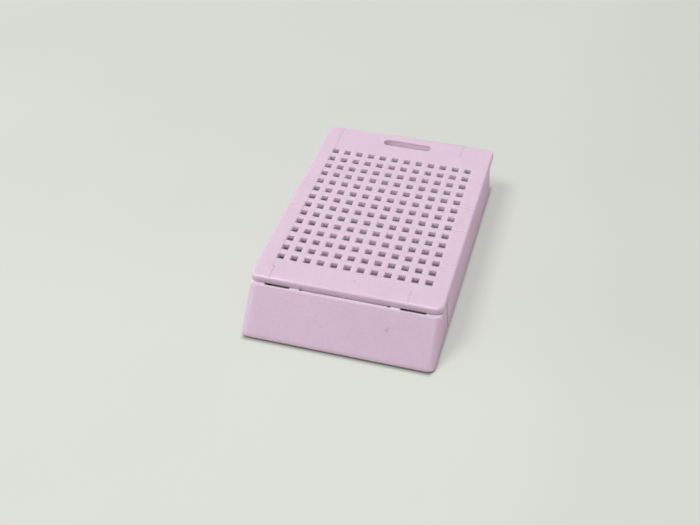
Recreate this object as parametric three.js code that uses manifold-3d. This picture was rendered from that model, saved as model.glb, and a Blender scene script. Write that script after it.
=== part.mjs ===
// Tissue cassette: a perforated tray with a slanted writing panel, and the snap-fit lid that closes it.
// Millimetres, +Z up, +Y to the rear. The origin lies on the underside, in the middle of the length and width.

import * as THREE from 'three';
import { mergeVertices } from 'three/addons/utils/BufferGeometryUtils.js';
import Module from 'manifold-3d';

const wasm = await Module();
wasm.setup();

// Specimen chamber and the walls round it.
const chamberLength = 29.2;
const chamberWidth = 26.0;
const chamberCorner = 0.8;
const sideWall = 1.25;
const frontWall = 0.8;
const rearWall = 1.3;
const floorThickness = 1.0;
const baseHeight = 5.5;
const baseCorner = 1.0;
const wallDraft = 0.15; // how far each outer side leans in between foot and rim
const rearTaper = 0.15; // how far each outer side runs in between the front block and the rear

// Flow holes, on one grid in floor and lid.
const holeWidth = 1.08;
const holeLength = 1.0;
const holePitchX = 2.0;
const holePitchY = 1.9;
const holeSideMargin = 1.4;
const holeFrontMargin = 0.72;
const holeRearMargin = 2.6;

// Front block: writing panel, the shelf behind it and the ribbed hollow below.
const panelAngle = THREE.MathUtils.degToRad(45);
const panelThickness = 1.0;
const panelFoot = 0.27; // upright edge below the slanted face
const ridgeRadius = 0.25; // rounding where the panel meets the shelf
const footRadius = 0.2; // rounding between the slanted face and its upright edge
const shelfDepth = 3.08;
const shelfThickness = 0.9;
const blockInset = 0.1; // step from the chamber's side in to the block's side
const blockWall = 1.0;
const blockCorner = 1.1;
const ribThickness = 0.8;
const railLength = 3.6; // low rail along the foot of the block's side
const railHeight = 0.5;

// Lid plate and the rim that drops into the chamber.
const lidThickness = 1.15;
const plateThickness = 0.9; // round the holes
const lidSetback = 0.5; // from the panel's top edge back to the lid's front face
const lidFrontCorner = 1.2;
const lidRearCorner = 0.9;
const lidEdge = 0.35; // rounding of the upper edge
const rimWidth = 0.6;
const rimDrop = 0.45;
const stepStart = 9.4; // shallow step in the rear edge, right of the middle, that runs out to the corner
const stepLength = 3.6;
const stepDepth = 0.3;

// Front hooks and the tongue between them.
const hingeLift = 0.1; // height of the hinge line above the shelf
const hookSpacing = 19.9;
const hookWidth = 3.1;
const hookThickness = 0.7;
const slotFrontRim = 0.27; // what stays of the panel's top edge in front of a hook slot
const toeClearance = 0.2;
const tongueWidth = 12.6;
const tongueDepth = 0.85;
const tongueDrop = 0.35;
const tongueClearance = 0.08;
const notchDepth = 0.2; // how far each end of the tongue's recess reaches out in front of the lid

// Rear latch, the slot over its barb and the finger lip behind it.
const latchWidth = 9.2;
const latchThickness = 0.9;
const latchDrop = 2.45;
const barbWidth = 8.0;
const barbLand = 0.25; // upright nose of the barb above its lead-in slope
const catchHeight = 0.95;
const catchDepth = 0.7;
const coreSlotLength = 8.1;
const coreSlotWidth = 1.4;
const fingerLip = 0.6;

// Gap between the two pieces where one fits into the other.
const fitClearance = 0.3;

// How far a cutting body runs past the face that it opens, and a joined one into what carries it.
const overrun = 0.5;

// Places along the length, from the foot of the panel to the finger lip.
const panelRun = (baseHeight - panelFoot) / Math.tan(panelAngle);
const lidOverhang = fitClearance + latchThickness + fingerLip;
const baseLength = panelRun + shelfDepth + frontWall + chamberLength + rearWall;
const footY = -(baseLength + lidOverhang) / 2;
const ridgeY = footY + panelRun;
const wallY = ridgeY + shelfDepth;
const chamberFrontY = wallY + frontWall;
const chamberRearY = chamberFrontY + chamberLength;
const rearY = chamberRearY + rearWall;
const latchY = rearY + fitClearance;
const lidFrontY = ridgeY + lidSetback;
const lidRearY = rearY + lidOverhang;

// Half widths and heights.
const halfWidth = chamberWidth / 2 + sideWall;
const blockHalfWidth = halfWidth - blockInset;
const lidHalfWidth = halfWidth - wallDraft;
const lidTop = baseHeight + lidThickness;
const shelfUnderside = baseHeight - shelfThickness;
const catchUnderside = baseHeight - catchHeight;

// The hinge line runs along X. The hooks are arcs round it that just miss the chamber's front wall.
const hingeZ = baseHeight + hingeLift;
const hookOuter = wallY - lidFrontY - fitClearance;
const hookInner = hookOuter - hookThickness;
const slotHalfWidth = hookWidth / 2 + fitClearance;
const recessHalfWidth = tongueWidth / 2 + fitClearance;
const ribX = (recessHalfWidth + hookSpacing / 2 - slotHalfWidth) / 2;

/** Turns a closed geometry into a solid that can be joined and cut. */
function solid(geometry) {
  geometry.deleteAttribute('normal');
  geometry.deleteAttribute('uv');
  const merged = mergeVertices(geometry);
  const vertProperties = new Float32Array(merged.attributes.position.array);
  const triVerts = new Uint32Array(merged.index.array);
  return new wasm.Manifold(new wasm.Mesh({ numProp: 3, vertProperties, triVerts }));
}

/** A block between two corners. */
function block([x0, x1], [y0, y1], [z0, z1]) {
  const box = new THREE.BoxGeometry(x1 - x0, y1 - y0, z1 - z0);
  return solid(box.translate((x0 + x1) / 2, (y0 + y1) / 2, (z0 + z1) / 2));
}

/** An outline through corners [a, b, radius], with each corner rounded by an arc of its radius. */
function outline(corners) {
  const shape = new THREE.Shape();
  corners.forEach(([a, b, radius = 0], i) => {
    const corner = new THREE.Vector2(a, b);
    const before = new THREE.Vector2(...corners.at(i - 1)).sub(corner).normalize();
    const after = new THREE.Vector2(...corners[(i + 1) % corners.length]).sub(corner).normalize();
    const half = Math.acos(before.dot(after)) / 2;
    const start = corner.clone().addScaledVector(before, radius / Math.tan(half));
    if (i === 0) shape.moveTo(start.x, start.y);
    else shape.lineTo(start.x, start.y);
    if (radius > 0) {
      const centre = before.clone().add(after).normalize().multiplyScalar(radius / Math.sin(half)).add(corner);
      const end = corner.clone().addScaledVector(after, radius / Math.tan(half));
      const clockwise = before.cross(after) > 0;
      shape.absarc(centre.x, centre.y, radius, start.sub(centre).angle(), end.sub(centre).angle(), clockwise);
    }
  });
  shape.closePath();
  return shape;
}

/** A plan outline, mirrored about X = 0, with its own corner radius at the front and at the rear. */
function plan(halfX, frontY, rearY, frontRadius, rearRadius) {
  return outline([
    [-halfX, frontY, frontRadius],
    [halfX, frontY, frontRadius],
    [halfX, rearY, rearRadius],
    [-halfX, rearY, rearRadius],
  ]);
}

/** Plan outlines drawn up from z0 to z1. */
function upright(shapes, [z0, z1]) {
  const options = { depth: z1 - z0, bevelEnabled: false, curveSegments: 6 };
  return new THREE.ExtrudeGeometry(shapes, options).translate(0, 0, z0);
}

/** A side profile in Y and Z drawn out along X. */
function across(profile, [x0, x1], curveSegments = 4) {
  const options = { depth: x1 - x0, bevelEnabled: false, curveSegments };
  const geometry = new THREE.ExtrudeGeometry(profile, options);
  const profileToSide = new THREE.Matrix4().set(0, 0, 1, x0, 1, 0, 0, 0, 0, 1, 0, 0, 0, 0, 0, 1);
  return solid(geometry.applyMatrix4(profileToSide));
}

/** Moves the points of a drawn-up geometry by how far up they lie between z0 and z1. */
function lean(geometry, [z0, z1], move) {
  const position = geometry.attributes.position;
  for (let i = 0; i < position.count; i += 1) {
    const rise = (position.getZ(i) - z0) / (z1 - z0);
    const [x, y] = move(position.getX(i), position.getY(i), rise);
    position.setXY(i, x, y);
  }
  return geometry;
}

/** Where the panel's slanted face lies at a height, moved in by a depth measured square to it. */
function panelY(z, depth = 0) {
  return ridgeY - (baseHeight - z) / Math.tan(panelAngle) + depth / Math.sin(panelAngle);
}

/** The flow holes as prisms: as many as the floor has room for between its margins. */
function flowHoles(heights) {
  const count = (room, size, pitch) => Math.floor((room - size) / pitch) + 1;
  const columns = count(chamberWidth - 2 * holeSideMargin, holeWidth, holePitchX);
  const rows = count(chamberLength - holeFrontMargin - holeRearMargin, holeLength, holePitchY);
  const holes = [];
  for (let row = 0; row < rows; row += 1) {
    for (let column = 0; column < columns; column += 1) {
      const x = (column - (columns - 1) / 2) * holePitchX - holeWidth / 2;
      const y = chamberFrontY + holeFrontMargin + row * holePitchY;
      holes.push(outline([[x, y], [x + holeWidth, y], [x + holeWidth, y + holeLength], [x, y + holeLength]]));
    }
  }
  return solid(upright(holes, heights));
}

/** Copies of what a function makes, one on each side of the middle. */
function bothSides(make) {
  return make(-1).add(make(1));
}

/** A block on the left (side -1) or right (side 1) of the middle, between two distances from it. */
function sideBlock(side, [inner, outer], depths, heights) {
  return block([side * inner, side * outer].sort((a, b) => a - b), depths, heights);
}

/** The chamber's outer body, with its sides leaning in towards the rim and running in towards the rear. */
function trayBody() {
  const heights = [0, baseHeight];
  const geometry = upright(plan(halfWidth, wallY, rearY, 0, baseCorner), heights);
  const inset = (y, rise) => rise * wallDraft + ((y - wallY) / (rearY - wallY)) * rearTaper;
  return solid(lean(geometry, heights, (x, y, rise) => [x * (1 - inset(y, rise) / halfWidth), y]));
}

/** The front block: a round-cornered plan that leans back, trimmed to the panel's own side profile. */
function frontBlock() {
  const joinY = wallY + frontWall / 2;
  const heights = [panelFoot, baseHeight];
  const footprint = plan(blockHalfWidth, footY, joinY, blockCorner, 0);
  const ramp = lean(upright(footprint, heights), heights, (x, y, rise) => [
    x * (1 - (rise * wallDraft) / blockHalfWidth),
    y < wallY ? y + rise * panelRun : y,
  ]);
  const profile = outline([
    [footY, 0],
    [joinY, 0],
    [joinY, baseHeight],
    [ridgeY, baseHeight, ridgeRadius],
    [footY, panelFoot, footRadius],
  ]);
  const body = solid(upright(footprint, [0, panelFoot])).add(solid(ramp));
  return body.intersect(across(profile, [-halfWidth, halfWidth]));
}

/** The low rails at the foot of the front block, in line with the chamber's sides. */
function footRails() {
  const depths = [wallY - railLength, wallY];
  const inner = blockHalfWidth - blockWall / 2;
  return bothSides((side) => sideBlock(side, [inner, halfWidth], depths, [0, railHeight]));
}

/** The hollow under panel and shelf, as three cells with a rib between each two. */
function hollowCells() {
  const profile = outline([
    [panelY(-overrun, panelThickness), -overrun],
    [wallY, -overrun],
    [wallY, shelfUnderside],
    [panelY(shelfUnderside, panelThickness), shelfUnderside],
  ]);
  const ribInner = ribX - ribThickness / 2;
  const ribOuter = ribX + ribThickness / 2;
  const hollowHalf = blockHalfWidth - blockWall;
  const outerCells = bothSides((side) => {
    return across(profile, [side * ribOuter, side * hollowHalf].sort((a, b) => a - b));
  });
  return outerCells.add(across(profile, [-ribInner, ribInner]));
}

/** The two slots through the shelf that take the lid's hooks. */
function hookSlots() {
  const reach = [hookSpacing / 2 - slotHalfWidth, hookSpacing / 2 + slotHalfWidth];
  const heights = [baseHeight - 2 * panelThickness, baseHeight + overrun];
  return bothSides((side) => sideBlock(side, reach, [ridgeY + slotFrontRim, wallY], heights));
}

/** The shallow recess in the shelf for the lid's tongue, with a small notch at each end of its front edge. */
function tongueRecess() {
  const endY = lidFrontY + tongueDepth + fitClearance;
  const heights = [baseHeight - tongueDrop - tongueClearance, baseHeight + overrun];
  const recess = block([-recessHalfWidth, recessHalfWidth], [lidFrontY - tongueClearance, endY], heights);
  const notches = bothSides((side) => {
    return sideBlock(side, [tongueWidth / 2, recessHalfWidth], [lidFrontY - notchDepth, endY], heights);
  });
  return recess.add(notches);
}

/** The recess in the outside of the rear wall, open below, whose upper edge is the latch's catch. */
function catchRecess() {
  const half = latchWidth / 2 + fitClearance;
  return block([-half, half], [rearY - catchDepth, rearY + overrun], [-overrun, catchUnderside]);
}

/** The base: chamber, writing panel, shelf and catch in one moulding. */
function makeBase() {
  const chamberPlan = plan(chamberWidth / 2, chamberFrontY, chamberRearY, chamberCorner, chamberCorner);
  const chamber = solid(upright(chamberPlan, [floorThickness, baseHeight + overrun]));
  return trayBody()
    .add(frontBlock())
    .add(footRails())
    .subtract(chamber)
    .subtract(hollowCells())
    .subtract(hookSlots())
    .subtract(tongueRecess())
    .subtract(catchRecess())
    .subtract(flowHoles([-overrun, floorThickness + overrun]));
}

/** The lid's plate, with its upper edge rounded and its lower edge left crisp. */
function lidPlate() {
  const options = {
    depth: lidThickness,
    bevelThickness: lidEdge,
    bevelSize: lidEdge,
    bevelOffset: -lidEdge,
    bevelSegments: 3,
    curveSegments: 5,
  };
  const shape = plan(lidHalfWidth, lidFrontY, lidRearY, lidFrontCorner, lidRearCorner);
  const plate = new THREE.ExtrudeGeometry(shape, options).translate(0, 0, baseHeight - lidEdge);
  const below = block([-halfWidth, halfWidth], [footY, lidRearY + overrun], [-overrun, baseHeight]);
  const step = new THREE.Shape();
  step.moveTo(stepStart, lidRearY + overrun);
  step.lineTo(stepStart, lidRearY - stepDepth);
  step.lineTo(stepStart + stepLength, lidRearY);
  step.lineTo(stepStart + stepLength, lidRearY + overrun);
  step.closePath();
  return solid(plate).subtract(below).subtract(solid(upright(step, [0, lidTop + overrun])));
}

/** The rim under the lid that runs inside the chamber's side and rear walls. */
function lidRim() {
  const outerHalf = chamberWidth / 2 - fitClearance;
  const frontY = chamberFrontY + fitClearance;
  const endY = chamberRearY - fitClearance;
  const heights = [baseHeight - rimDrop, baseHeight + plateThickness / 2];
  const outer = plan(outerHalf, frontY, endY, 0, Math.max(chamberCorner - fitClearance, 0));
  const inner = plan(outerHalf - rimWidth, frontY - overrun, endY - rimWidth, 0, 0);
  const inside = solid(upright(inner, [heights[0] - overrun, heights[1] + overrun]));
  return solid(upright(outer, heights)).subtract(inside);
}

/** The pocket under the plate that thins it round the flow holes. */
function platePocket() {
  const half = chamberWidth / 2 - fitClearance - rimWidth;
  const depths = [chamberFrontY + fitClearance, chamberRearY - fitClearance - rimWidth];
  return block([-half, half], depths, [baseHeight - overrun, lidTop - plateThickness]);
}

/** One hook: an arc round the hinge line that ends in a toe lying under the panel. */
function hook(side) {
  const hingeDepth = lidSetback * Math.sin(panelAngle) - hingeLift * Math.cos(panelAngle);
  const toeDepth = panelThickness + toeClearance - hingeDepth;
  const toeAngle = (radius) => panelAngle - Math.PI / 2 - Math.acos(toeDepth / radius);
  const profile = new THREE.Shape();
  profile.absarc(lidFrontY, hingeZ, hookOuter, 0, toeAngle(hookOuter), true);
  profile.absarc(lidFrontY, hingeZ, hookInner, toeAngle(hookInner), 0, false);
  profile.closePath();
  const middle = (side * hookSpacing) / 2;
  return across(profile, [middle - hookWidth / 2, middle + hookWidth / 2], 10);
}

/** The tongue along the middle of the lid's front edge. */
function frontTongue() {
  const depths = [lidFrontY, lidFrontY + tongueDepth];
  const heights = [baseHeight - tongueDrop, baseHeight + lidThickness / 2];
  return block([-tongueWidth / 2, tongueWidth / 2], depths, heights);
}

/** The springy tongue behind the rear wall, with the barb that snaps under the catch. */
function latch() {
  const bottom = baseHeight - latchDrop;
  const barbTop = catchUnderside - fitClearance;
  const noseY = rearY - catchDepth + fitClearance;
  const barb = outline([
    [noseY, barbTop],
    [noseY, barbTop - barbLand],
    [latchY, bottom],
    [latchY + latchThickness / 2, bottom],
    [latchY + latchThickness / 2, barbTop],
  ]);
  const heights = [bottom, baseHeight + lidThickness / 2];
  const leaf = block([-latchWidth / 2, latchWidth / 2], [latchY, latchY + latchThickness], heights);
  return leaf.add(across(barb, [-barbWidth / 2, barbWidth / 2]));
}

/** The round-ended slot through the lid, above the barb and flush with the latch's front face. */
function coreSlot() {
  const radius = coreSlotWidth / 2;
  const shape = new THREE.Shape();
  shape.absarc(coreSlotLength / 2 - radius, latchY - radius, radius, -Math.PI / 2, Math.PI / 2);
  shape.absarc(radius - coreSlotLength / 2, latchY - radius, radius, Math.PI / 2, 1.5 * Math.PI);
  shape.closePath();
  return solid(upright(shape, [baseHeight - overrun, lidTop + overrun]));
}

/** The lid: plate, rim, hooks, tongue and latch in one moulding. */
function makeLid() {
  return lidPlate()
    .add(lidRim())
    .subtract(platePocket())
    .add(bothSides(hook))
    .add(frontTongue())
    .add(latch())
    .subtract(coreSlot())
    .subtract(flowHoles([baseHeight - overrun, lidTop + overrun]));
}

/** A named mesh from a finished solid. */
function piece(name, body, material) {
  const { vertProperties, triVerts } = body.getMesh();
  const geometry = new THREE.BufferGeometry();
  geometry.setAttribute('position', new THREE.BufferAttribute(new Float32Array(vertProperties), 3));
  geometry.setIndex(new THREE.BufferAttribute(new Uint32Array(triVerts), 1));
  geometry.computeVertexNormals();
  const mesh = new THREE.Mesh(geometry, material);
  mesh.name = name;
  return mesh;
}

/** Matt lilac acetal. */
function acetal(color) {
  return new THREE.MeshStandardMaterial({ color, roughness: 0.55, metalness: 0 });
}

const cassette = new THREE.Group();
cassette.name = 'tissue_cassette';
cassette.add(piece('base', makeBase(), acetal('#dcbfda')));
cassette.add(piece('lid', makeLid(), acetal('#dfc3dd')));

export default cassette;
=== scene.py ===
"""Dresses the tissue cassette: a perforated tray with a slanted writing panel under a snap-fit lid.

Both pieces are lilac acetal mouldings. Each is made from its own solid, with its crisp edges broken to the
small radius that a mould leaves, and gets a finish of its own: satin on the lid, finely eroded on the tray.
A short burr on the lid's front lip marks where its mould was filled. Lengths are in metres.
"""

import logging
import math
from collections.abc import Mapping
from dataclasses import dataclass
from enum import Enum

import bmesh
import bpy
from bmesh.types import BMEdge, BMesh
from bpy.types import Material, NodeSocket, Object, World
from mathutils import Euler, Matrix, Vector


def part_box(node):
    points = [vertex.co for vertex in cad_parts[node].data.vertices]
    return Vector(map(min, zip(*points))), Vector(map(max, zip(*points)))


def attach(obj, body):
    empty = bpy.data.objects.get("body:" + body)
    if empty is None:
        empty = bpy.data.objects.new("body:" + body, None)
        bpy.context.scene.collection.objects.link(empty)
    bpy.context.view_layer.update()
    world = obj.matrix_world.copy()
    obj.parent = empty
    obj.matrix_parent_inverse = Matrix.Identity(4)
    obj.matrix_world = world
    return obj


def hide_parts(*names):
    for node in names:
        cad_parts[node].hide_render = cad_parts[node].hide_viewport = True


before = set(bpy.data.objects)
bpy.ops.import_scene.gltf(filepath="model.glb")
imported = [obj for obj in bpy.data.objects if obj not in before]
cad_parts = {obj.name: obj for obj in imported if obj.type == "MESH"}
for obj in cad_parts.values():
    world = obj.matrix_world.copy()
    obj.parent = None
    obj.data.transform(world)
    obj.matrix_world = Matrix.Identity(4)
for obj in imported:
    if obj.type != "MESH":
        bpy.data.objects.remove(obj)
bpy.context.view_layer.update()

LOG = logging.getLogger("cassette")
MM = 0.001
EDGE_ATTRIBUTE = "edge_rounding"
WALL_ATTRIBUTE = "thin_wall"
BORDER = 0.1 * MM  # over which the border of a tint fades
NOISE_MIDDLE = 0.5

Rgb = tuple[float, float, float]
Point = tuple[float, float, float]


class Body(Enum):
    """The bodies that pieces ride on."""

    TRAY = "base_body"
    LID = "lid_body"


class Slot(Enum):
    """The names of the material slots."""

    TRAY = "base_acetal"
    LID = "lid_acetal"


def mm(*sizes: float) -> Point:
    """Turns a point in millimetres into metres."""
    return tuple(size * MM for size in sizes)


def heading(azimuth: float, elevation: float) -> Vector:
    """The direction of length 1 that two angles give.

    Args:
        azimuth: The angle clockwise from +Y seen from above, in degrees.
        elevation: The angle above the bench, in degrees.

    Returns:
        The direction.
    """
    turn, lift = math.radians(azimuth), math.radians(elevation)
    return Vector((math.sin(turn) * math.cos(lift), math.cos(turn) * math.cos(lift), math.sin(lift)))


def finished(name: str, bm: BMesh, material: Material) -> Object:
    """Turns a mesh into an object of the scene.

    Args:
        name: The object's name.
        bm: The mesh, which is freed.
        material: Its material.

    Returns:
        The object.
    """
    mesh = bpy.data.meshes.new(name)
    bm.to_mesh(mesh)
    bm.free()
    mesh.materials.append(material)
    made = bpy.data.objects.new(name, mesh)
    bpy.context.scene.collection.objects.link(made)
    return made


# --- Shader graphs ------------------------------------------------------------


class Signal:
    """A number in a shader graph, which Python's operators turn into Math nodes."""

    def __init__(self, graph: "Graph", socket: NodeSocket) -> None:
        """Wraps a socket.

        Args:
            graph: The graph that the socket belongs to.
            socket: The output socket that carries the number.
        """
        self.graph = graph
        self.socket = socket

    def __add__(self, other: "Signal | float") -> "Signal":
        """Adds a number."""
        return self.graph.math("ADD", self, other)

    def __sub__(self, other: "Signal | float") -> "Signal":
        """Takes a number away."""
        return self.graph.math("SUBTRACT", self, other)

    def __rsub__(self, other: "Signal | float") -> "Signal":
        """Takes this number away from another."""
        return self.graph.math("SUBTRACT", other, self)

    def __mul__(self, other: "Signal | float") -> "Signal":
        """Multiplies by a number."""
        return self.graph.math("MULTIPLY", self, other)

    __radd__ = __add__
    __rmul__ = __mul__

    def magnitude(self) -> "Signal":
        """Drops the sign."""
        return self.graph.math("ABSOLUTE", self)

    def clamped(self) -> "Signal":
        """Limits the number to between 0 and 1."""
        return self.graph.node("ShaderNodeClamp", {}, {"Value": self}).result()


Spot = tuple[Signal, Signal, Signal]


class Built:
    """A shader node just made, with its outputs at hand."""

    def __init__(self, graph: "Graph", node: bpy.types.Node) -> None:
        """Keeps the node with its graph."""
        self.graph = graph
        self.node = node

    def result(self, name: str | int = 0) -> Signal:
        """Gives an output as a number to reckon with."""
        return Signal(self.graph, self.node.outputs[name])

    def output(self, name: str | int = 0) -> NodeSocket:
        """Gives an output to link."""
        return self.node.outputs[name]


class Graph:
    """The node graph of one material."""

    def __init__(self, name: str) -> None:
        """Starts a material with nothing but its output node.

        Args:
            name: The material's name.
        """
        self.material = bpy.data.materials.new(name)
        self.material.use_nodes = True
        self.tree = self.material.node_tree
        self.tree.nodes.clear()
        coordinates = self.node("ShaderNodeTexCoord", {}, {})
        self.place = coordinates.output("Object")
        self.facing = coordinates.output("Normal")

    def node(self, kind: str, settings: Mapping[str, object], sockets: Mapping[str | int, object]) -> Built:
        """Adds a node.

        Args:
            kind: The node's type.
            settings: Properties of the node, which are set first.
            sockets: A value, a socket or a Signal for each input named.

        Returns:
            The node.
        """
        made = self.tree.nodes.new(kind)
        for key, value in settings.items():
            setattr(made, key, value)
        for key, value in sockets.items():
            target = made.inputs[key]
            source = value.socket if isinstance(value, Signal) else value
            if isinstance(source, NodeSocket):
                self.tree.links.new(source, target)
            elif target.type == "RGBA":
                target.default_value = (*source, 1.0)
            else:
                target.default_value = source
        return Built(self, made)

    def math(self, operation: str, *values: "Signal | float") -> Signal:
        """Adds a Math node.

        Args:
            operation: The node's operation.
            values: Its inputs in order.

        Returns:
            The result.
        """
        return self.node("ShaderNodeMath", {"operation": operation}, dict(enumerate(values))).result()

    def colour_mix(self, share: "Signal | float", first: object, second: object) -> NodeSocket:
        """Blends two colours.

        Args:
            share: How much of the second there is, from 0 to 1.
            first: A colour or a socket that carries one.
            second: A colour or a socket that carries one.

        Returns:
            The socket that carries the blend.
        """
        settings = {"data_type": "RGBA", "clamp_factor": True}
        sockets = {0: share, 6: first, 7: second}  # the Mix node's colours are its inputs 6 and 7
        return self.node("ShaderNodeMix", settings, sockets).output(2)

    def larger(self, first: Signal, second: Signal) -> Signal:
        """The larger of two numbers."""
        return self.math("MAXIMUM", first, second)

    def attribute(self, name: str) -> Signal:
        """Reads a number that the mesh carries."""
        return self.node("ShaderNodeAttribute", {"attribute_name": name}, {}).result("Fac")

    def noise(self, size: float, detail: float, stretch: Point = (1.0, 1.0, 1.0)) -> Signal:
        """Cloudy noise on the piece's own coordinates.

        Args:
            size: The width of one cloud, in metres.
            detail: How many finer octaves it has.
            stretch: How much longer the clouds are along each axis.

        Returns:
            A number about 0.5, from 0 to 1.
        """
        scale = tuple(1 / (size * s) for s in stretch)
        mapping = {"Vector": self.place, "Scale": scale}
        spot = self.node("ShaderNodeMapping", {"vector_type": "POINT"}, mapping)
        sockets = {"Vector": spot.output(), "Scale": 1.0, "Detail": detail}
        return self.node("ShaderNodeTexNoise", {"noise_dimensions": "3D"}, sockets).result(0)

    def axes(self) -> Spot:
        """The piece's own X, Y and Z at the shaded point, in metres."""
        split = self.node("ShaderNodeSeparateXYZ", {}, {0: self.place})
        return split.result(0), split.result(1), split.result(2)

    def ramp(self, value: Signal, start: float, end: float) -> Signal:
        """Rises smoothly from 0 at start to 1 at end.

        Args:
            value: The number that is looked at.
            start: Where the rise begins.
            end: Where it is complete. It may lie below start.

        Returns:
            A number from 0 to 1.
        """
        settings = {"interpolation_type": "SMOOTHSTEP"}
        if start < end:
            sockets = {"Value": value, "From Min": start, "From Max": end, "To Min": 0.0, "To Max": 1.0}
        else:
            sockets = {"Value": value, "From Min": end, "From Max": start, "To Min": 1.0, "To Max": 0.0}
        return self.node("ShaderNodeMapRange", settings, sockets).result()

    def between(self, value: Signal, low: float, high: float, soft: float) -> Signal:
        """Is 1 between two limits and falls off softly outside them.

        Args:
            value: The number that is looked at.
            low: The lower limit.
            high: The upper limit.
            soft: The width of the fall on either side.

        Returns:
            A number from 0 to 1.
        """
        return self.ramp(value, low - soft, low) * self.ramp(value, high + soft, high)

    def finish(self, shader: Built) -> Material:
        """Links a shader to the material's output.

        Args:
            shader: The shader node.

        Returns:
            The material.
        """
        self.node("ShaderNodeOutputMaterial", {}, {"Surface": shader.output()})
        return self.material


# --- Finishes -----------------------------------------------------------------


@dataclass(frozen=True)
class Patches:
    """Cloudy noise sharpened to soft patches.

    Attributes:
        size: The width of one patch, in metres.
        start: The level of the noise at which a patch begins.
        end: The level at which it is full.
        share: How strongly a full patch shows.
        detail: How many finer octaves it has.
        stretch: How much longer the patches are along each axis.
    """

    size: float
    start: float
    end: float
    share: float = 1.0
    detail: float = 2.0
    stretch: Point = (1.0, 1.0, 1.0)

    def noise(self, g: Graph) -> Signal:
        """The bare noise, from 0 to 1."""
        return g.noise(self.size, self.detail, self.stretch)

    def sharpened(self, g: Graph, noise: Signal) -> Signal:
        """The patches that a bare noise holds."""
        return g.ramp(noise, self.start, self.end) * self.share

    def on(self, g: Graph) -> Signal:
        """The patches on a piece."""
        return self.sharpened(g, self.noise(g))


@dataclass(frozen=True)
class Relief:
    """Cloudy noise that raises the surface.

    Attributes:
        size: The width of one swelling, in metres.
        height: How far it stands up, in metres.
        detail: How many finer octaves it has.
    """

    size: float
    height: float
    detail: float = 2.0

    def on(self, g: Graph) -> Signal:
        """The height at the shaded point, in metres."""
        return g.noise(self.size, self.detail) * self.height


@dataclass(frozen=True)
class Seam:
    """A hair line left on a moulding where two inserts of the mould met.

    Attributes:
        along: The axis that the line runs along, "X" or "Y".
        at: Its place across that axis, in metres.
        start: Where it starts along its axis.
        end: Where it ends.
        rise: How far it stands up, in metres. A negative rise is a groove.
        tone: How much of the seams' dark colour it shows, or of the painted highlight colour of the edges
            where it is negative.
    """

    along: str
    at: float
    start: float
    end: float
    rise: float
    tone: float


@dataclass(frozen=True)
class DarkStroke:
    """One small dark stroke where something has rubbed.

    Attributes:
        start: Where it starts, in metres.
        end: Where it ends.
        width: How wide it is.
        strength: How much of the dark colour it shows.
        steady: Whether it runs through unbroken, as painted shade along a joint does.
    """

    start: Point
    end: Point
    width: float
    strength: float
    steady: bool = False


@dataclass(frozen=True)
class SideShade:
    """Painted shade on the outer walls on the right: a deeper, redder tint standing in for their shade.

    Attributes:
        colour: The colour of the painted shade.
        turned: How far to the right a face must point to start taking that colour, and to be full of it.
        outside: How far to the right it must lie to start taking that colour, and to be full of it.
    """

    colour: Rgb = (0.90, 0.64, 0.81)
    turned: tuple[float, float] = (0.5, 0.95)
    outside: tuple[float, float] = (12.0 * MM, 13.0 * MM)

    def over(self, g: Graph, x: Signal, colour: NodeSocket) -> NodeSocket:
        """Lays the painted shade over another."""
        rightward = g.node("ShaderNodeSeparateXYZ", {}, {0: g.facing}).result(0)
        return g.colour_mix(g.ramp(rightward, *self.turned) * g.ramp(x, *self.outside), colour, self.colour)


@dataclass(frozen=True)
class FootShade:
    """Painted shade on the lowest edge at the front, where it turns down towards the bench: a darker,
    redder colour.

    Attributes:
        colour: The colour of the painted shade.
        start: Where it starts, along Y.
        end: Where its colour is complete.
    """

    colour: Rgb = (0.68, 0.505, 0.615)
    start: float = -20.30 * MM
    end: float = -20.62 * MM

    def over(self, g: Graph, y: Signal, colour: NodeSocket) -> NodeSocket:
        """Lays the painted shade over another."""
        return g.colour_mix(g.ramp(y, self.start, self.end), colour, self.colour)


@dataclass(frozen=True)
class RidgeHighlight:
    """A pale strip painted along the front edge at a moulding's top: a painted highlight, broken into
    patches.

    Attributes:
        colour: The pale colour of the painted highlight.
        front: Where the painted strip starts, along Y.
        rear: Where it ends.
        level: The height above which it shows.
        fade: How far below that level it fades away.
        share: How strongly it shows towards the corners.
        middle: How much of that it shows in the middle.
        outward: Between which distances from the middle it changes from one to the other.
        highlight_patches: The patches that it is broken into.
    """

    colour: Rgb = (1.0, 0.78, 0.95)
    front: float = -15.25 * MM
    rear: float = -14.80 * MM
    level: float = 5.15 * MM
    fade: float = 0.15 * MM
    share: float = 0.95
    middle: float = 1.0
    outward: tuple[float, float] = (6.0 * MM, 9.0 * MM)
    highlight_patches: Patches = Patches(1.6 * MM, 0.25, 0.6, detail=3.0)

    def over(self, g: Graph, spot: Spot, colour: NodeSocket) -> NodeSocket:
        """Lays the painted highlight over another.

        Args:
            g: The material's graph.
            spot: X, Y and Z of the shaded point.
            colour: The colour below.

        Returns:
            The socket that carries the blend.
        """
        x, y, z = spot
        strip = g.between(y, self.front, self.rear, BORDER) * g.ramp(z, self.level - self.fade, self.level)
        strength = g.ramp(x.magnitude(), *self.outward) * (1 - self.middle) + self.middle
        return g.colour_mix(strip * (self.highlight_patches.on(g) * strength * self.share), colour, self.colour)


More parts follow.
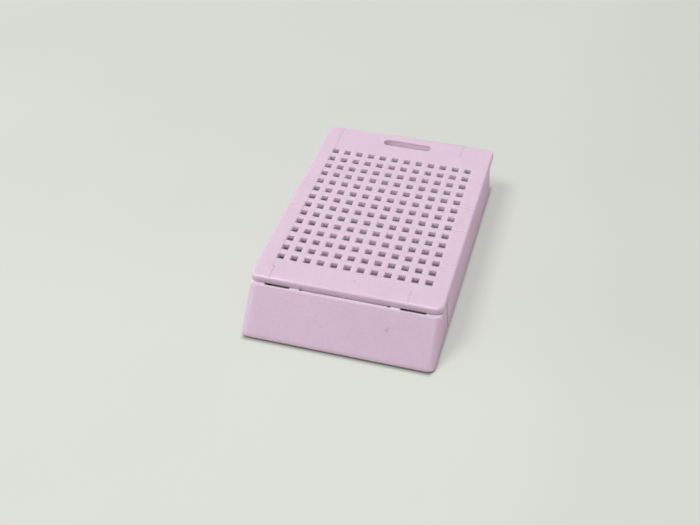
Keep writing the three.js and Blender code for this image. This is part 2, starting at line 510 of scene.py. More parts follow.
@dataclass(frozen=True)
class WallLight:
    """Painted light on the upright walls of the openings: a pale colour standing in for the light that
    soaks through them.

    Attributes:
        top: The height of their upper rim.
        fade: How far below that rim they are pale all over.
        bottom: The height down to which they are pale.
        bottom_fade: How far below that height the paleness ends.
        colour: The pale colour of the painted light.
        rear_colour: The colour of the painted light on the walls of the opening at the rear.
        rear_start: Behind which line that opening lies.
    """

    top: float = 1.0 * MM
    fade: float = 0.75 * MM
    bottom: float = -1.0 * MM
    bottom_fade: float = 0.3 * MM
    colour: Rgb = (1.0, 0.90, 0.97)
    rear_colour: Rgb = (0.91, 0.835, 0.89)
    rear_start: float = 17.0 * MM

    def over(self, g: Graph, spot: Spot, colour: NodeSocket) -> NodeSocket:
        """Lays the painted light over another.

        Args:
            g: The material's graph.
            spot: X, Y and Z of the shaded point.
            colour: The colour below.

        Returns:
            The socket that carries the blend.
        """
        _, y, z = spot
        painted_light = g.attribute(WALL_ATTRIBUTE) * g.ramp(z, self.top, self.top - self.fade)
        painted_light = painted_light * g.ramp(z, self.bottom - self.bottom_fade, self.bottom)
        at_rear = g.ramp(y, self.rear_start - BORDER, self.rear_start)
        return g.colour_mix(painted_light, colour, g.colour_mix(at_rear, self.colour, self.rear_colour))


@dataclass(frozen=True)
class Acetal:
    """Moulded lilac acetal: slightly waxy, with a faint flow pattern and polished edges, and painted
    highlights, painted shade and painted light laid over its colour in places.

    Attributes:
        name: The material's name.
        colour: Its own colour.
        pale: The colour of thin flow streaks.
        deep: The colour where more pigment has gathered.
        roughness: How matt it is.
        grain: The eroded texture.
        speck: The colour of the finest specks of pigment.
        clouds: Where more pigment has gathered over wide areas.
        streaks: The flow streaks.
        mottle: Where more pigment has gathered in spots.
        specks: The finest specks.
        edge_highlight_patches: Where the painted highlight on the broken edges is stronger, in patches.
        side_shade: The painted shade on the outer walls on the right.
        foot: The painted shade on the lowest edge at the front.
        ridge_highlight: The painted highlight along the top of the front.
        walls: The painted light on the thin walls of the openings.
        seams: The hair lines on it.
        seam_level: The height above which the hair lines show.
        seam_width: How far a hair line reaches to either side.
        seam_colour: The dark colour of the hair lines.
        dark_strokes: The rub marks on it, and the painted shade along its joints, notches and overhangs.
        scuff_breaks: Where a rub mark shows and where it is broken.
        stroke_colour: The dark colour of the rub marks and of the painted shade.
        edge_highlight_colour: The pale colour of the painted highlight on the broken edges.
        edge_start: The height above which the broken edges begin to take the painted highlight.
        edge_end: The height at which they take it fully.
        edge_highlight: How strongly the painted highlight shows on the broken edges.
        rim_highlight: How strongly it shows round the flow holes.
        field_side: Between which distances from the middle the field of flow holes ends.
        field_front: Between which lines it starts.
        cloud_unevenness: How much the roughness changes from cloud to cloud.
        speck_unevenness: How much it changes from speck to speck.
        edge_polish: How much smoother the broken edges are.
        swell: The slight waviness that shrinking leaves.
        ripple: The finer waviness on it.
        waxiness: How much light passes beneath the surface.
        wax_depth: How far that light gets, in metres.
        wax_radius: How far red, green and blue get, as shares of that depth.
        refraction: Its index of refraction.
        gloss: How strongly it mirrors.
    """

    name: str
    colour: Rgb
    pale: Rgb
    deep: Rgb
    roughness: float
    grain: Relief
    speck: Rgb = (0.69, 0.525, 0.655)
    clouds: Patches = Patches(7 * MM, 0.32, 0.68, share=0.5, detail=3.0)
    streaks: Patches = Patches(1.1 * MM, 0.5, 0.75, share=0.28, stretch=(1.0, 5.0, 1.0))
    mottle: Patches = Patches(0.7 * MM, 0.35, 0.65, share=0.2)
    specks: Patches = Patches(0.17 * MM, 0.45, 0.65, share=0.5, detail=1.0)
    edge_highlight_patches: Patches = Patches(0.9 * MM, 0.35, 0.7, detail=3.0)
    side_shade: SideShade = SideShade()
    foot: FootShade = FootShade()
    ridge_highlight: RidgeHighlight = RidgeHighlight()
    walls: WallLight = WallLight()
    seams: tuple[Seam, ...] = ()
    seam_level: float = 0.0
    seam_width: float = 0.12 * MM
    seam_colour: Rgb = (0.50, 0.35, 0.46)
    dark_strokes: tuple[DarkStroke, ...] = ()
    scuff_breaks: Patches = Patches(0.2 * MM, 0.30, 0.50)
    stroke_colour: Rgb = (0.17, 0.11, 0.17)
    edge_highlight_colour: Rgb = (0.90, 0.76, 0.87)
    edge_start: float = 0.6 * MM
    edge_end: float = 1.2 * MM
    edge_highlight: float = 0.1
    rim_highlight: float = 0.3
    field_side: tuple[float, float] = (12.6 * MM, 12.3 * MM)
    field_front: tuple[float, float] = (-13.0 * MM, -12.6 * MM)
    cloud_unevenness: float = 0.10
    speck_unevenness: float = 0.12
    edge_polish: float = 0.22
    swell: Relief = Relief(4 * MM, 0.012 * MM, 1.0)
    ripple: Relief = Relief(0.9 * MM, 0.004 * MM)
    waxiness: float = 0.8
    wax_depth: float = 0.9 * MM
    wax_radius: Rgb = (1.0, 0.8, 0.95)
    refraction: float = 1.48
    gloss: float = 0.25

    def material(self) -> Material:
        """Builds the material.

        Returns:
            The material.
        """
        g = Graph(self.name)
        spot = x, y, z = g.axes()
        edge = g.attribute(EDGE_ATTRIBUTE) * g.ramp(z, self.edge_start, self.edge_end)
        patchy_edge_highlight = (edge * self.edge_highlight_patches.on(g)).clamped()
        clouds = self.clouds.noise(g)
        specks = self.specks.noise(g)
        lines = self._seam_lines(g, spot)

        colour = g.colour_mix(self.clouds.sharpened(g, clouds), self.colour, self.deep)
        colour = g.colour_mix(self.streaks.on(g), colour, self.pale)
        colour = g.colour_mix(self.mottle.on(g), colour, self.deep)
        colour = g.colour_mix(self.specks.sharpened(g, specks), colour, self.speck)
        # painted shade on the outer walls on the right
        colour = self.side_shade.over(g, x, colour)
        # painted shade on the lowest edge at the front
        colour = self.foot.over(g, y, colour)
        # painted highlight along the front top edge
        colour = self.ridge_highlight.over(g, spot, colour)
        # painted highlight on the broken edges, stronger round the flow holes
        among_holes = g.ramp(x.magnitude(), *self.field_side) * g.ramp(y, *self.field_front)
        edge_highlight = among_holes * (self.rim_highlight - self.edge_highlight) + self.edge_highlight
        colour = g.colour_mix((edge + patchy_edge_highlight) * edge_highlight, colour, self.edge_highlight_colour)
        # painted light on the walls of the openings
        colour = self.walls.over(g, spot, colour)
        for seam, line in lines:
            tint = self.seam_colour if seam.tone > 0 else self.edge_highlight_colour
            colour = g.colour_mix(line * abs(seam.tone), colour, tint)
        # rub marks, and painted shade along joints, notches and overhangs
        for stroke_mark in self.dark_strokes:
            colour = g.colour_mix(self._stroke(g, spot, stroke_mark), colour, self.stroke_colour)

        unevenness = (clouds - NOISE_MIDDLE) * self.cloud_unevenness
        unevenness = unevenness + (specks - NOISE_MIDDLE) * self.speck_unevenness
        roughness = self.roughness + unevenness - edge * self.edge_polish

        relief = {"Strength": 1.0, "Distance": 1.0, "Height": self._height(g, lines)}
        bump = g.node("ShaderNodeBump", {}, relief)
        shader = g.node(
            "ShaderNodeBsdfPrincipled",
            {"subsurface_method": "RANDOM_WALK"},
            {
                "Base Color": colour,
                "Roughness": roughness.clamped(),
                "Normal": bump.output(),
                "IOR": self.refraction,
                "Specular IOR Level": self.gloss,
                "Subsurface Weight": self.waxiness,
                "Subsurface Radius": self.wax_radius,
                "Subsurface Scale": self.wax_depth,
            },
        )
        return g.finish(shader)

    def _seam_lines(self, g: Graph, spot: Spot) -> list[tuple[Seam, Signal]]:
        """Finds the hair lines.

        Args:
            g: The material's graph.
            spot: X, Y and Z of the shaded point.

        Returns:
            Each seam with its line, which is 1 on the seam and 0 beside it.
        """
        x, y, z = spot
        on_top = g.ramp(z, self.seam_level - BORDER, self.seam_level)
        lines = []
        for seam in self.seams:
            across, along = (y, x) if seam.along == "X" else (x, y)
            line = g.ramp((across - seam.at).magnitude(), self.seam_width, 0.0)
            extent = g.between(along, seam.start, seam.end, self.seam_width)
            lines.append((seam, line * extent * on_top))
        return lines

    def _height(self, g: Graph, lines: list[tuple[Seam, Signal]]) -> Signal:
        """Adds up the surface's relief.

        Args:
            g: The material's graph.
            lines: Each seam with its line.

        Returns:
            The height, in metres.
        """
        height = self.swell.on(g) + self.ripple.on(g) + self.grain.on(g)
        for seam, line in lines:
            height = height + line * seam.rise
        return height

    def _stroke(self, g: Graph, spot: Spot, stroke_mark: DarkStroke) -> Signal:
        """Finds a stroke by the distance from the line between its two ends.

        Args:
            g: The material's graph.
            spot: X, Y and Z of the shaded point.
            stroke_mark: The stroke.

        Returns:
            How strongly it shows, from 0 to 1.
        """
        along = Vector(stroke_mark.end) - Vector(stroke_mark.start)
        length = along.length
        along.normalize()
        dx, dy, dz = (here - there for here, there in zip(spot, stroke_mark.start))
        travelled = dx * along.x + dy * along.y + dz * along.z
        squared = dx * dx + dy * dy + dz * dz - travelled * travelled
        near = g.ramp(squared, stroke_mark.width**2, 0.0)
        within = g.between(travelled, 0.0, length, stroke_mark.width)
        if stroke_mark.steady:
            return near * within * stroke_mark.strength
        return near * within * self.scuff_breaks.on(g) * stroke_mark.strength


# --- Mouldings ----------------------------------------------------------------


@dataclass
class Moulding:
    """One injection moulding, refined from its solid by breaking its crisp edges.

    Attributes:
        node: The solid's node.
        piece: The name of the finished piece.
        body: The body that it rides on.
        slot: The material slot of its finish. It is not used.
        finish: Its finish.
        merge_distance: How close corners lie that are one.
        no_length: How short an edge is that rounding leaves by chance and that is taken out.
        flat_angle: The bend below which two facets are one flat.
        crease: The bend from which an edge counts as crisp.
        edge_radius: The radius of its broken edges.
        hole_radius: The radius round the flow holes.
        room: How many radii wide a facet must be, and how long an edge, to be rounded.
        arc_mark: How strongly the mould's own rounded edges are marked beside the broken ones.
        segments: How many facets a broken edge has.
        arc_width: How narrow a facet is that belongs to a rounded edge.
        upright: How far up the normal of a hole's wall may point.
    """

    node: str
    piece: str
    body: Body
    slot: Slot
    finish: Acetal
    merge_distance: float = 0.002 * MM
    no_length: float = 0.0001 * MM
    flat_angle: float = math.radians(0.6)
    crease: float = math.radians(32)
    edge_radius: float = 0.05 * MM
    hole_radius: float = 0.06 * MM
    room: float = 2.2
    arc_mark: float = 0.3
    segments: int = 2
    arc_width: float = 0.2 * MM
    upright: float = 0.8

    def build(self) -> Object:
        """Makes the piece, dresses it and lets it ride on its body.

        Returns:
            The piece.
        """
        bm = self._merged_copy()
        self._round(bm, self._hole_edges(bm), self.hole_radius)
        self._round(bm, self._other_edges(bm), self.edge_radius)
        self._keep_within_solid(bm)
        self._mark_arcs(bm)
        self._mark_thin_walls(bm)
        self._shade(bm)
        made = finished(self.piece, bm, self.finish.material())
        weighted = made.modifiers.new("flat_faces_lead", "WEIGHTED_NORMAL")
        weighted.mode = "FACE_AREA"
        weighted.keep_sharp = True
        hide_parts(self.node)
        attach(made, self.body.value)
        return made

    def _merged_copy(self) -> BMesh:
        """Joins the solid's loose triangles and divides its flats into stout ones.

        Returns:
            The mesh.
        """
        bm = bmesh.new()
        bm.from_mesh(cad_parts[self.node].data)
        bmesh.ops.remove_doubles(bm, verts=bm.verts, dist=self.merge_distance)
        self._join_flats(bm)
        bmesh.ops.triangulate(bm, faces=bm.faces, quad_method="BEAUTY", ngon_method="BEAUTY")
        within = [e for e in bm.edges if len(e.link_faces) == 2 and e.calc_face_angle() < self.flat_angle]
        bmesh.ops.beautify_fill(bm, faces=bm.faces, edges=within, method="AREA")
        bm.normal_update()
        bm.loops.layers.float.new(EDGE_ATTRIBUTE)
        bm.loops.layers.float.new(WALL_ATTRIBUTE)
        return bm

    def _join_flats(self, bm: BMesh) -> None:
        """Joins the facets of each flat."""
        bmesh.ops.dissolve_limit(bm, angle_limit=self.flat_angle, verts=bm.verts, edges=bm.edges)
        bm.normal_update()

    def _crisp(self, bm: BMesh) -> list[BMEdge]:
        """The edges that bend more than a crease."""
        return [e for e in bm.edges if len(e.link_faces) == 2 and e.calc_face_angle() > self.crease]

    def _has_room(self, edge: BMEdge) -> bool:
        """Sees whether an outer edge and the facets beside it are wide enough to be rounded.

        Args:
            edge: The edge.

        Returns:
            Whether they are.
        """
        length = edge.calc_length()
        needed = self.room * self.edge_radius
        wide = all(2 * face.calc_area() > needed * length for face in edge.link_faces)
        return edge.is_convex and length > needed and wide

    def _hole_edges(self, bm: BMesh) -> list[BMEdge]:
        """The rims of the flow holes."""
        rims = [e for e in self._crisp(bm) if all(self._in_hole(v.co) for v in e.verts)]
        return [e for e in rims if abs(e.verts[0].co.z - e.verts[1].co.z) < self.merge_distance]

    def _other_edges(self, bm: BMesh) -> list[BMEdge]:
        """The crisp outer edges elsewhere, where there is room for a radius."""
        crisp = [e for e in self._crisp(bm) if self._has_room(e)]
        return [e for e in crisp if not all(self._in_hole(v.co) for v in e.verts)]

    def _in_hole(self, spot: Vector) -> bool:
        """Whether a corner belongs to a flow hole."""
        raise NotImplementedError

    def _in_opening(self, spot: Vector) -> bool:
        """Whether a spot belongs to a flow hole or to another opening with thin walls."""
        return self._in_hole(spot)

    def _round(self, bm: BMesh, edges: list[BMEdge], radius: float) -> None:
        """Breaks edges to a radius, marks what that leaves and joins the flats beside them.

        Args:
            bm: The mesh.
            edges: The edges.
            radius: The radius.
        """
        result = bmesh.ops.bevel(
            bm,
            geom=edges,
            offset=radius,
            offset_type="OFFSET",
            affect="EDGES",
            segments=self.segments,
            profile=0.5,
            material=-1,
            clamp_overlap=False,
            loop_slide=False,
        )
        mark = bm.loops.layers.float[EDGE_ATTRIBUTE]
        for face in result["faces"]:
            for loop in face.loops:
                loop[mark] = 1.0
        self._join_flats(bm)

    def _keep_within_solid(self, bm: BMesh) -> None:
        """Takes back the few corners that rounding has pushed a hair outside the solid's box.

        Args:
            bm: The mesh.
        """
        low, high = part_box(self.node)
        for vert in bm.verts:
            vert.co = Vector(min(max(c, a), b) for c, a, b in zip(vert.co, low, high))
        bmesh.ops.dissolve_degenerate(bm, dist=self.no_length, edges=bm.edges)

    def _mark_arcs(self, bm: BMesh) -> None:
        """Marks the long narrow facets that the mould's own rounded edges consist of.

        Args:
            bm: The mesh.
        """
        mark = bm.loops.layers.float[EDGE_ATTRIBUTE]
        for face in bm.faces:
            filled = 0.5 if len(face.verts) == 3 else 1.0  # a triangle fills half of its box
            longest = max(edge.calc_length() for edge in face.edges)
            if face.calc_area() < self.arc_width * filled * longest:
                for loop in face.loops:
                    loop[mark] = max(loop[mark], self.arc_mark)

    def _mark_thin_walls(self, bm: BMesh) -> None:
        """Marks the upright walls of the openings.

        Args:
            bm: The mesh.
        """
        mark = bm.loops.layers.float[WALL_ATTRIBUTE]
        for face in bm.faces:
            if abs(face.normal.z) < self.upright and self._in_opening(face.calc_center_median()):
                for loop in face.loops:
                    loop[mark] = 1.0

    def _shade(self, bm: BMesh) -> None:
        """Shades everything smooth except across the crisp edges that are left.

        Args:
            bm: The mesh.
        """
        for face in bm.faces:
            face.smooth = True
        for edge in self._crisp(bm):
            edge.smooth = False


@dataclass
class TrayMoulding(Moulding):
    """The tray with its writing panel.

    Attributes:
        floor_top: The height of the chamber's floor.
        chamber_front: Where the chamber starts.
        chamber_rear: Where it ends.
        chamber_half_width: Half of its width.
        chamber_margin: How far from its walls the first flow holes lie, at least.
        outline_play: How far inside the furthest point of the underside its outline may run.
    """

    floor_top: float = 1.0 * MM
    chamber_front: float = -11.595 * MM
    chamber_rear: float = 17.605 * MM
    chamber_half_width: float = 13.0 * MM
    chamber_margin: float = 0.3 * MM
    outline_play: float = 0.3 * MM

    def _in_hole(self, spot: Vector) -> bool:
        """Sees whether a corner belongs to a flow hole in the floor.

        Args:
            spot: The corner.

        Returns:
            Whether it does.
        """
        low = spot.z < self.floor_top + self.edge_radius
        front, rear = self.chamber_front + self.chamber_margin, self.chamber_rear - self.chamber_margin
        return low and front < spot.y < rear and abs(spot.x) < self.chamber_half_width - self.chamber_margin

    def _other_edges(self, bm: BMesh) -> list[BMEdge]:
        """The crisp outer edges with room for a radius, and those along the foot."""
        return list(dict.fromkeys(super()._other_edges(bm) + self._foot_edges(bm)))

    def _foot_edges(self, bm: BMesh) -> list[BMEdge]:
        """Finds the crisp edges along the outline of the underside, its recesses left out.

        Args:
            bm: The mesh.

        Returns:
            The edges.
        """
        ground = [v.co.copy() for v in bm.verts if v.co.z < self.merge_distance]
        found = []
        for edge in self._crisp(bm):
            if all(v.co.z < self.merge_distance for v in edge.verts):
                outward = min(edge.link_faces, key=lambda face: abs(face.normal.z)).normal
                limit = outward.dot(edge.verts[0].co) + self.outline_play
                if all(outward.dot(spot) < limit for spot in ground):
                    found.append(edge)
        return found


@dataclass
class LidMoulding(Moulding):
    """The lid with its hooks and its latch.

    Attributes:
        plate_underside: The height of the plate's underside round the holes.
        field_front: Where the field of holes starts.
        field_rear: Where it ends.
        field_half_width: Half of its width.
        slot_front: Where the slot over the barb starts.
        slot_rear: Where it ends.
        slot_half_length: Half of its length.
        slot_bottom: Down to which height its wall is seen.
    """

    plate_underside: float = 5.75 * MM
    field_front: float = -11.1 * MM
    field_rear: float = 15.5 * MM
    field_half_width: float = 11.7 * MM
    slot_front: float = 17.7 * MM
    slot_rear: float = 19.3 * MM
    slot_half_length: float = 4.1 * MM
    slot_bottom: float = 1.0 * MM

    def _in_hole(self, spot: Vector) -> bool:
        """Sees whether a corner belongs to a flow hole in the lid.

        Args:
            spot: The corner.

        Returns:
            Whether it does.
        """
        high = spot.z > self.plate_underside - self.edge_radius
        inside_y = self.field_front < spot.y < self.field_rear
        return high and inside_y and abs(spot.x) < self.field_half_width

    def _in_opening(self, spot: Vector) -> bool:
        """Sees whether a spot belongs to a flow hole or to the slot over the barb.

        Args:
            spot: The spot.

        Returns:
            Whether it does.
        """
        across_slot = self.slot_front < spot.y < self.slot_rear
        in_slot = spot.z > self.slot_bottom and across_slot and abs(spot.x) < self.slot_half_length
        return in_slot or self._in_hole(spot)


@dataclass(frozen=True)
class GateMark:
    """The short burr that the mould's gate leaves on the lower edge of the lid's front lip.

    Attributes:
        finish: Its finish.
        root: Where it springs from, in metres.
        tip: Where it ends.
        root_radius: Its radius at the root.
        tip_radius: Its radius at the tip.
        tip_rounding: How far the rounding of its tip reaches in.
        sides: How many facets it has round its axis.
        segments: How many facets that rounding has.
    """

    finish: Acetal
    root: Point = mm(0.12, -14.93, 5.80)
    tip: Point = mm(-0.18, -15.18, 5.50)
    root_radius: float = 0.08 * MM
    tip_radius: float = 0.06 * MM
    tip_rounding: float = 0.036 * MM
    sides: int = 12
    segments: int = 2

    def build(self) -> Object:
        """Makes the burr, dresses it and lets it ride on the lid.

        Returns:
            The burr.
        """
        axis = Vector(self.tip) - Vector(self.root)
        bm = bmesh.new()
        bmesh.ops.create_cone(
            bm,
            cap_ends=True,
            segments=self.sides,
            radius1=self.root_radius,
            radius2=self.tip_radius,
            depth=axis.length,
        )
        ring = [e for e in bm.edges if all(v.co.z > 0 for v in e.verts)]
        bmesh.ops.bevel(
            bm,
            geom=ring,
            offset=self.tip_rounding,
            affect="EDGES",
            segments=self.segments,
            profile=0.5,
            material=-1,
        )
        turn = axis.to_track_quat("Z", "Y").to_matrix()
        bmesh.ops.rotate(bm, verts=bm.verts, cent=(0, 0, 0), matrix=turn)
        bmesh.ops.translate(bm, verts=bm.verts, vec=(Vector(self.root) + Vector(self.tip)) / 2)
        for face in bm.faces:
            face.smooth = True
        made = finished("gate_mark", bm, self.finish.material())
        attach(made, Body.LID.value)
        return made


# --- Stage --------------------------------------------------------------------


@dataclass(frozen=True)
class Fall:
    """A slow fall of the floor's brightness towards one side, painted in as shade.

    Attributes:
        axis: The axis that it falls along, 0 for X and 1 for Y.
        start: Where it begins, in metres.
        end: Where it is complete.
        share: How strong it is.
    """

    axis: int
    start: float
    end: float
    share: float


@dataclass(frozen=True)
class Bench:
    """The plain pale floor that the cassette stands on.

    Attributes:
        half_size: Half the length of its side.
        level: Its height, a hair below the cassette's underside.
        colour: Its colour where it is brightest.
        shade: The colour of the painted shade that it falls off to.
        roughness: How matt it is.
        clouds: Its own slight unevenness.
        falls: How its brightness falls off towards the rear and the right, as painted shade.
        contact_shadow: The colour of the painted contact shadow right under the cassette's front edge.
        contact_shadow_share: How strongly that painted shadow shows.
        contact_shadow_strip: Between which lines it shows, along Y.
        contact_shadow_fade: How softly it ends at those lines.
        contact_shadow_side: Between which distances from the middle it ends.
        fill: How much the floor glows where nothing stands on it.
        clear_side: Between which distances from the middle that glow begins.
        clear_front: Between which lines it begins in front of the cassette.
        clear_rear: Between which lines it begins behind it.
    """

    half_size: float = 1.5
    level: float = -0.22 * MM
    colour: Rgb = (0.725, 0.740, 0.695)
    shade: Rgb = (0.655, 0.670, 0.628)
    roughness: float = 0.85
    clouds: Patches = Patches(30 * MM, 0.3, 0.7, share=0.12, detail=3.0)
    falls: tuple[Fall, ...] = (
        Fall(1, -26 * MM, 2 * MM, 0.45),
        Fall(1, 10 * MM, 40 * MM, 0.2),
        Fall(0, 18 * MM, 42 * MM, 0.35),
    )
    contact_shadow: Rgb = (0.20, 0.19, 0.17)
    contact_shadow_share: float = 0.8
    contact_shadow_strip: tuple[float, float] = (-20.88 * MM, -19.0 * MM)
    contact_shadow_fade: float = 0.55 * MM
    contact_shadow_side: tuple[float, float] = (14.3 * MM, 13.3 * MM)
    fill: float = 0.5
    clear_side: tuple[float, float] = (14.0 * MM, 14.6 * MM)
    clear_front: tuple[float, float] = (-20.5 * MM, -21.2 * MM)
    clear_rear: tuple[float, float] = (19.0 * MM, 19.6 * MM)

    def build(self) -> Object:
        """Makes the floor.

        Returns:
            The floor.
        """
        bm = bmesh.new()
        bmesh.ops.create_grid(bm, x_segments=1, y_segments=1, size=self.half_size)
        bmesh.ops.translate(bm, verts=bm.verts, vec=(0, 0, self.level))
        floor = finished("bench", bm, self._material())
        return floor

    def _material(self) -> Material:
        """Builds the floor's matt finish, with painted shade and a painted contact shadow, which glows a
        little where nothing stands on it.

        Returns:
            The material.
        """
        g = Graph("bench_matt")
        spot = x, y, _ = g.axes()
        tone = self.clouds.on(g)
        # painted shade falling off towards the rear and the right
        for fall in self.falls:
            tone = tone + g.ramp(spot[fall.axis], fall.start, fall.end) * fall.share
        colour = g.colour_mix(tone, self.colour, self.shade)

        # painted contact shadow under the cassette's front edge
        shadow_mask = g.between(y, *self.contact_shadow_strip, self.contact_shadow_fade)
        shadow_mask = shadow_mask * g.ramp(x.magnitude(), *self.contact_shadow_side)
        below = g.colour_mix(shadow_mask * self.contact_shadow_share, colour, self.contact_shadow)
        matt = g.node("ShaderNodeBsdfPrincipled", {}, {"Base Color": below, "Roughness": self.roughness})

        ahead_or_beside = g.larger(g.ramp(x.magnitude(), *self.clear_side), g.ramp(y, *self.clear_front))
        clear = g.larger(ahead_or_beside, g.ramp(y, *self.clear_rear))
        path = g.node("ShaderNodeLightPath", {}, {})
        mirrored = g.larger(path.result("Is Glossy Ray"), path.result("Is Transmission Ray"))
        seen = g.larger(path.result("Is Camera Ray"), mirrored)
        glow = g.node("ShaderNodeEmission", {}, {"Color": colour, "Strength": 1.0})
        blend = {0: seen * clear * self.fill, 1: matt.output(), 2: glow.output()}
        return g.finish(g.node("ShaderNodeMixShader", {}, blend))


@dataclass(frozen=True)
class SoftBox:
    """A large square lamp that faces the cassette.

    Attributes:
        name: The lamp's name.
        azimuth: The direction it stands in, in degrees clockwise from +Y seen from above.
        elevation: How high it stands, in degrees.
        distance: How far it is from the cassette.
        size: The length of its side.
        level: How bright it would make a white surface that faces it, on its own.
    """

    name: str
    azimuth: float
    elevation: float
    distance: float
    size: float
    level: float

    def build(self) -> Object:
        """Makes the lamp.

        Returns:
            The lamp.
        """
        lamp = bpy.data.lights.new(self.name, "AREA")
        lamp.shape = "SQUARE"
        lamp.size = self.size
        lamp.energy = self.level * math.pi * math.pi * self.distance**2
        made = bpy.data.objects.new(self.name, lamp)
        away = heading(self.azimuth, self.elevation)
        made.location = away * self.distance
        made.rotation_euler = away.to_track_quat("Z", "Y").to_euler()
        bpy.context.scene.collection.objects.link(made)
        return made


@dataclass(frozen=True)
class Room:
    """The soft light of the room, which comes mostly from the ceiling.

    Attributes:
        ceiling: The brightness straight above.
        horizon: The brightness all round at bench height.
        tint: The colour of the light.
    """

    ceiling: float = 0.825
    horizon: float = 0.04
    tint: Rgb = (1.0, 1.0, 1.0)

    def build(self) -> World:
        """Makes the world.

        Returns:
            The world.
        """
        world = bpy.data.worlds.new("room")
        world.use_nodes = True
        tree = world.node_tree
        direction = tree.nodes.new("ShaderNodeTexCoord")
        height = tree.nodes.new("ShaderNodeSeparateXYZ")
        level = tree.nodes.new("ShaderNodeMapRange")
        level.inputs["To Min"].default_value = self.horizon
        level.inputs["To Max"].default_value = self.ceiling
        background = tree.nodes["Background"]
        background.inputs["Color"].default_value = (*self.tint, 1.0)
        tree.links.new(direction.outputs["Generated"], height.inputs[0])
        tree.links.new(height.outputs["Z"], level.inputs["Value"])
        tree.links.new(level.outputs[0], background.inputs["Strength"])
        bpy.context.scene.world = world
        return world


@dataclass(frozen=True)
class Viewpoint:
    """The camera, which looks down on the writing panel from the front right.

    Attributes:
        aim: A point on the lens axis.
        distance: How far the camera stands from it.
        azimuth: The direction it looks in, in degrees clockwise from +Y seen from above.
        elevation: How far down it looks.
        sensor: The width of its sensor, in millimetres.
        lens: Its focal length, in millimetres.
        shift: How far the picture is moved sideways, as a share of its width.
        nearest: How close a thing may come and still be seen.
    """

    aim: Point = mm(9.718, -0.088, 0.0)
    distance: float = 129.74 * MM
    azimuth: float = -13.84
    elevation: float = 46.10
    sensor: float = 36.0
    lens: float = 43.455
    shift: float = -0.1257
    nearest: float = 10 * MM

    def build(self) -> Object:
        """Makes the camera and sets it as the scene's own.

        Returns:
            The camera.
        """
        data = bpy.data.cameras.new("viewpoint")
        data.sensor_fit = "HORIZONTAL"
        data.sensor_width = self.sensor
        data.lens = self.lens
        data.shift_x = self.shift
        data.clip_start = self.nearest
        made = bpy.data.objects.new("viewpoint", data)
        turn, fall = math.radians(self.azimuth), math.radians(self.elevation)
        made.location = Vector(self.aim) - heading(self.azimuth, -self.elevation) * self.distance
        made.rotation_euler = Euler((math.pi / 2 - fall, 0.0, -turn), "XYZ")
        bpy.context.scene.collection.objects.link(made)
        bpy.context.scene.camera = made
        return made


# --- The cassette -------------------------------------------------------------


def tray_finish() -> Acetal:
    """The tray's finely eroded acetal."""
    # painted shade in the two notches at the ends of the front recess
    notch_shade = [(mm(x, -15.02, 5.35), mm(x + 0.2, -15.02, 5.35)) for x in (-6.55, 6.35)]
    # defaults: painted shade on the right walls and the foot, painted highlight along the front top edge,
    # painted light on the walls of the flow holes
    return Acetal(
        name="acetal_eroded",
        colour=(0.770, 0.612, 0.733),
        pale=(0.788, 0.644, 0.757),
        deep=(0.730, 0.566, 0.698),
        roughness=0.55,
        grain=Relief(0.16 * MM, 0.009 * MM),
        dark_strokes=(
            DarkStroke(mm(6.85, -17.25, 3.73), mm(6.81, -17.75, 3.23), 0.12 * MM, 0.38),
            DarkStroke(mm(6.45, -17.45, 3.53), mm(6.7, -17.6, 3.38), 0.12 * MM, 0.25),
            # painted shade down the joint on the right side, and in the notches at the ends of the front
            # recess
            DarkStroke(mm(14.13, -12.42, 5.3), mm(14.2, -12.42, 0.4), 0.32 * MM, 0.2, steady=True),
            *(DarkStroke(start, end, 0.2 * MM, 0.6, steady=True) for start, end in notch_shade),
        ),
    )


def lid_seams() -> tuple[Seam, ...]:
    """Lists the lines that the mould's inserts left on the lid, and three fine ribs across its borders,
    each painted pale as a painted highlight, with a line of painted shadow just in front.

    Returns:
        The lines.
    """
    rise = 0.03 * MM
    front, rear = -14.9 * MM, 20.6 * MM
    edge = 14.0 * MM
    ribs = [y * MM for y in (5.9, 0.8, -6.9)]
    shade = 0.16 * MM
    return (
        Seam("Y", -11.1 * MM, front, -12.5 * MM, -rise, 0.6),
        Seam("Y", -11.45 * MM, -12.5 * MM, rear, -rise, 0.35),
        Seam("Y", 9.05 * MM, front, -12.6 * MM, -rise, 0.45),
        Seam("Y", 9.05 * MM, 17.5 * MM, rear, -rise, 0.4),
        Seam("X", -12.5 * MM, -11.4 * MM, -11.1 * MM, -rise, 0.5),
        Seam("X", -12.6 * MM, 4.5 * MM, 9.05 * MM, -0.5 * rise, 0.18),
        Seam("X", 17.5 * MM, -11.3 * MM, 9.05 * MM, -0.5 * rise, 0.12),
        # the ribs: a painted highlight on each rib, and a painted shadow just in front of it
        *(Seam("X", y, -edge, -11.5 * MM, rise, -0.6) for y in ribs),
        *(Seam("X", y, 12.0 * MM, edge, 1.7 * rise, -1.0) for y in ribs),
        *(Seam("X", y - shade, -edge, -11.5 * MM, -rise, 0.2) for y in ribs),
        *(Seam("X", y - shade, 11.5 * MM, edge, -rise, 0.2) for y in ribs),
    )


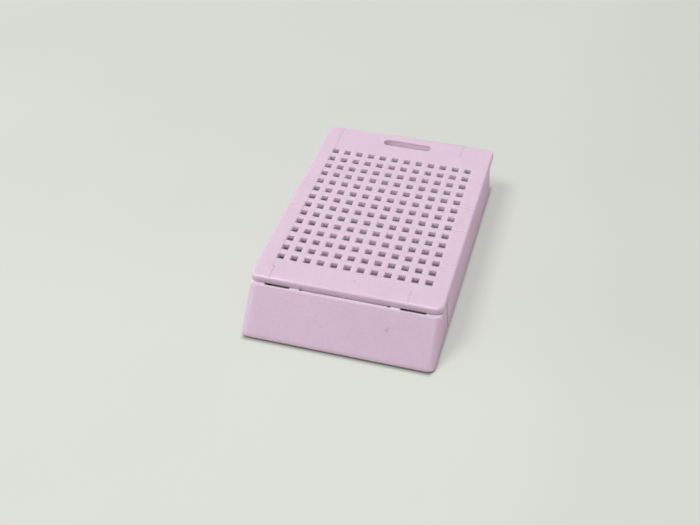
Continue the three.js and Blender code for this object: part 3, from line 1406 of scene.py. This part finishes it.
def lid_finish() -> Acetal:
    """The lid's satin acetal with its mould seams."""
    return Acetal(
        name="acetal_satin",
        colour=(0.776, 0.618, 0.735),
        pale=(0.800, 0.657, 0.765),
        deep=(0.745, 0.583, 0.710),
        roughness=0.42,
        gloss=0.3,
        grain=Relief(0.2 * MM, 0.005 * MM),
        seams=lid_seams(),
        seam_level=6.6 * MM,
        dark_strokes=(
            DarkStroke(mm(0.72, -12.62, 6.65), mm(0.82, -12.62, 6.65), 0.17 * MM, 0.42),
            # painted shade under the lid's overhang on its right side
            DarkStroke(mm(14.1, -14.2, 5.6), mm(14.1, -11.8, 5.6), 0.22 * MM, 0.3, steady=True),
        ),
        # painted light on the walls of the lid's holes and slot
        walls=WallLight(top=6.65 * MM, bottom=5.2 * MM),
        # painted highlight along the lid's front top edge
        ridge_highlight=RidgeHighlight((0.95, 0.82, 0.93), -14.80 * MM, -14.66 * MM, level=6.55 * MM, share=0.55, middle=0.15),
        # painted shade on the lid's right side
        side_shade=SideShade((0.86, 0.60, 0.80)),
        # a fainter painted highlight on the lid's broken edges
        edge_highlight=0.05,
        edge_polish=0.12,
    )


def burr_finish() -> Acetal:
    """The pale stretched acetal of the gate's burr."""
    return Acetal(
        name="acetal_burr",
        colour=(1.0, 0.92, 0.98),
        pale=(1.0, 0.95, 1.0),
        deep=(0.96, 0.88, 0.94),
        roughness=0.5,
        grain=Relief(0.1 * MM, 0.002 * MM),
        ridge_highlight=RidgeHighlight(share=0.0),
    )


def main() -> None:
    """Builds the cassette, the stage, the light and the camera, and reports each piece."""
    logging.basicConfig(level=logging.INFO, format="%(name)s %(message)s")
    parts = (
        TrayMoulding("base", "tray_moulding", Body.TRAY, Slot.TRAY, tray_finish()),
        LidMoulding("lid", "lid_moulding", Body.LID, Slot.LID, lid_finish()),
        GateMark(burr_finish()),
        Bench(),
    )
    for part in parts:
        piece = part.build()
        LOG.info("%s: %d faces", piece.name, len(piece.data.polygons))
    Room().build()
    SoftBox("key", azimuth=-97, elevation=63, distance=0.8, size=0.3, level=0.53).build()
    Viewpoint().build()
    bpy.context.scene.view_settings.view_transform = "Standard"


if __name__ == "__main__":
    main()
